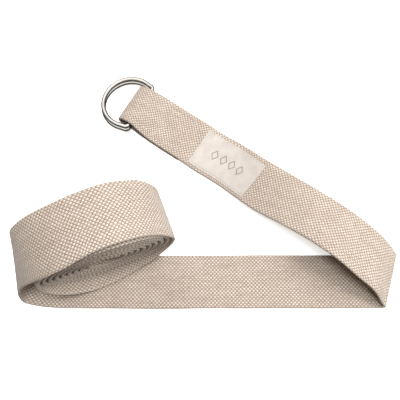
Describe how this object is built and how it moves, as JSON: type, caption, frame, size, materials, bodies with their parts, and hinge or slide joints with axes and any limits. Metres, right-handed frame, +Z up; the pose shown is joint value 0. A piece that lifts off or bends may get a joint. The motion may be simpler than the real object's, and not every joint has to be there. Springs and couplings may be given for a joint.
{
  "type": "stretching strap",
  "caption": "Woven cotton stretching strap, part rolled up, with a folded run, a sewn label, and wire D-rings held in the sewn loop at its free end.",
  "frame": {"origin": "on the underside of the flat run, at the table, midway across the webbing and about midway along the run", "axes": "+X along the flat run towards the fold, +Y across the webbing towards the ring end, +Z up from the table"},
  "size_m": [0.2697, 0.1821, 0.0774],
  "materials": {
    "webbing": "coarse plain weave of undyed cotton",
    "label": "smooth close-woven cream cloth",
    "thread": "cotton sewing thread, tone on tone",
    "ring_metal": "bright nickel-plated round wire"
  },
  "bodies": {
    "strap": {"webbing_roll": "webbing", "webbing_outer_turn": "webbing", "webbing_run": "webbing", "webbing_fold": "webbing", "tail_seam_thread": "thread"},
    "ring_end": {"webbing_end": "webbing", "webbing_loop": "webbing", "webbing_tab": "webbing", "label": "label", "label_seam_thread": "thread", "loop_seam_thread": "thread"},
    "upper_ring": {"upper_d_ring": "ring_metal"},
    "lower_ring": {"lower_d_ring": "ring_metal"}
  },
  "joints": [
    {"name": "ring_end_lift", "type": "hinge", "parent": "strap", "child": "ring_end", "pos_m": [0.06337, 0.05496, 0.01977], "axis": [0.3099, 0.9425, -0.125], "range_deg": [0, 75]},
    {"name": "upper_ring_swing", "type": "hinge", "parent": "ring_end", "child": "upper_ring", "pos_m": [-0.047, 0.13495, 0.00825], "axis": [0.5, 0.866, 0], "range_deg": [0, 140]},
    {"name": "lower_ring_swing", "type": "hinge", "parent": "ring_end", "child": "lower_ring", "pos_m": [-0.0474, 0.13425, 0.00445], "axis": [0.5, 0.866, 0], "range_deg": [-140, 0]}
  ]
}
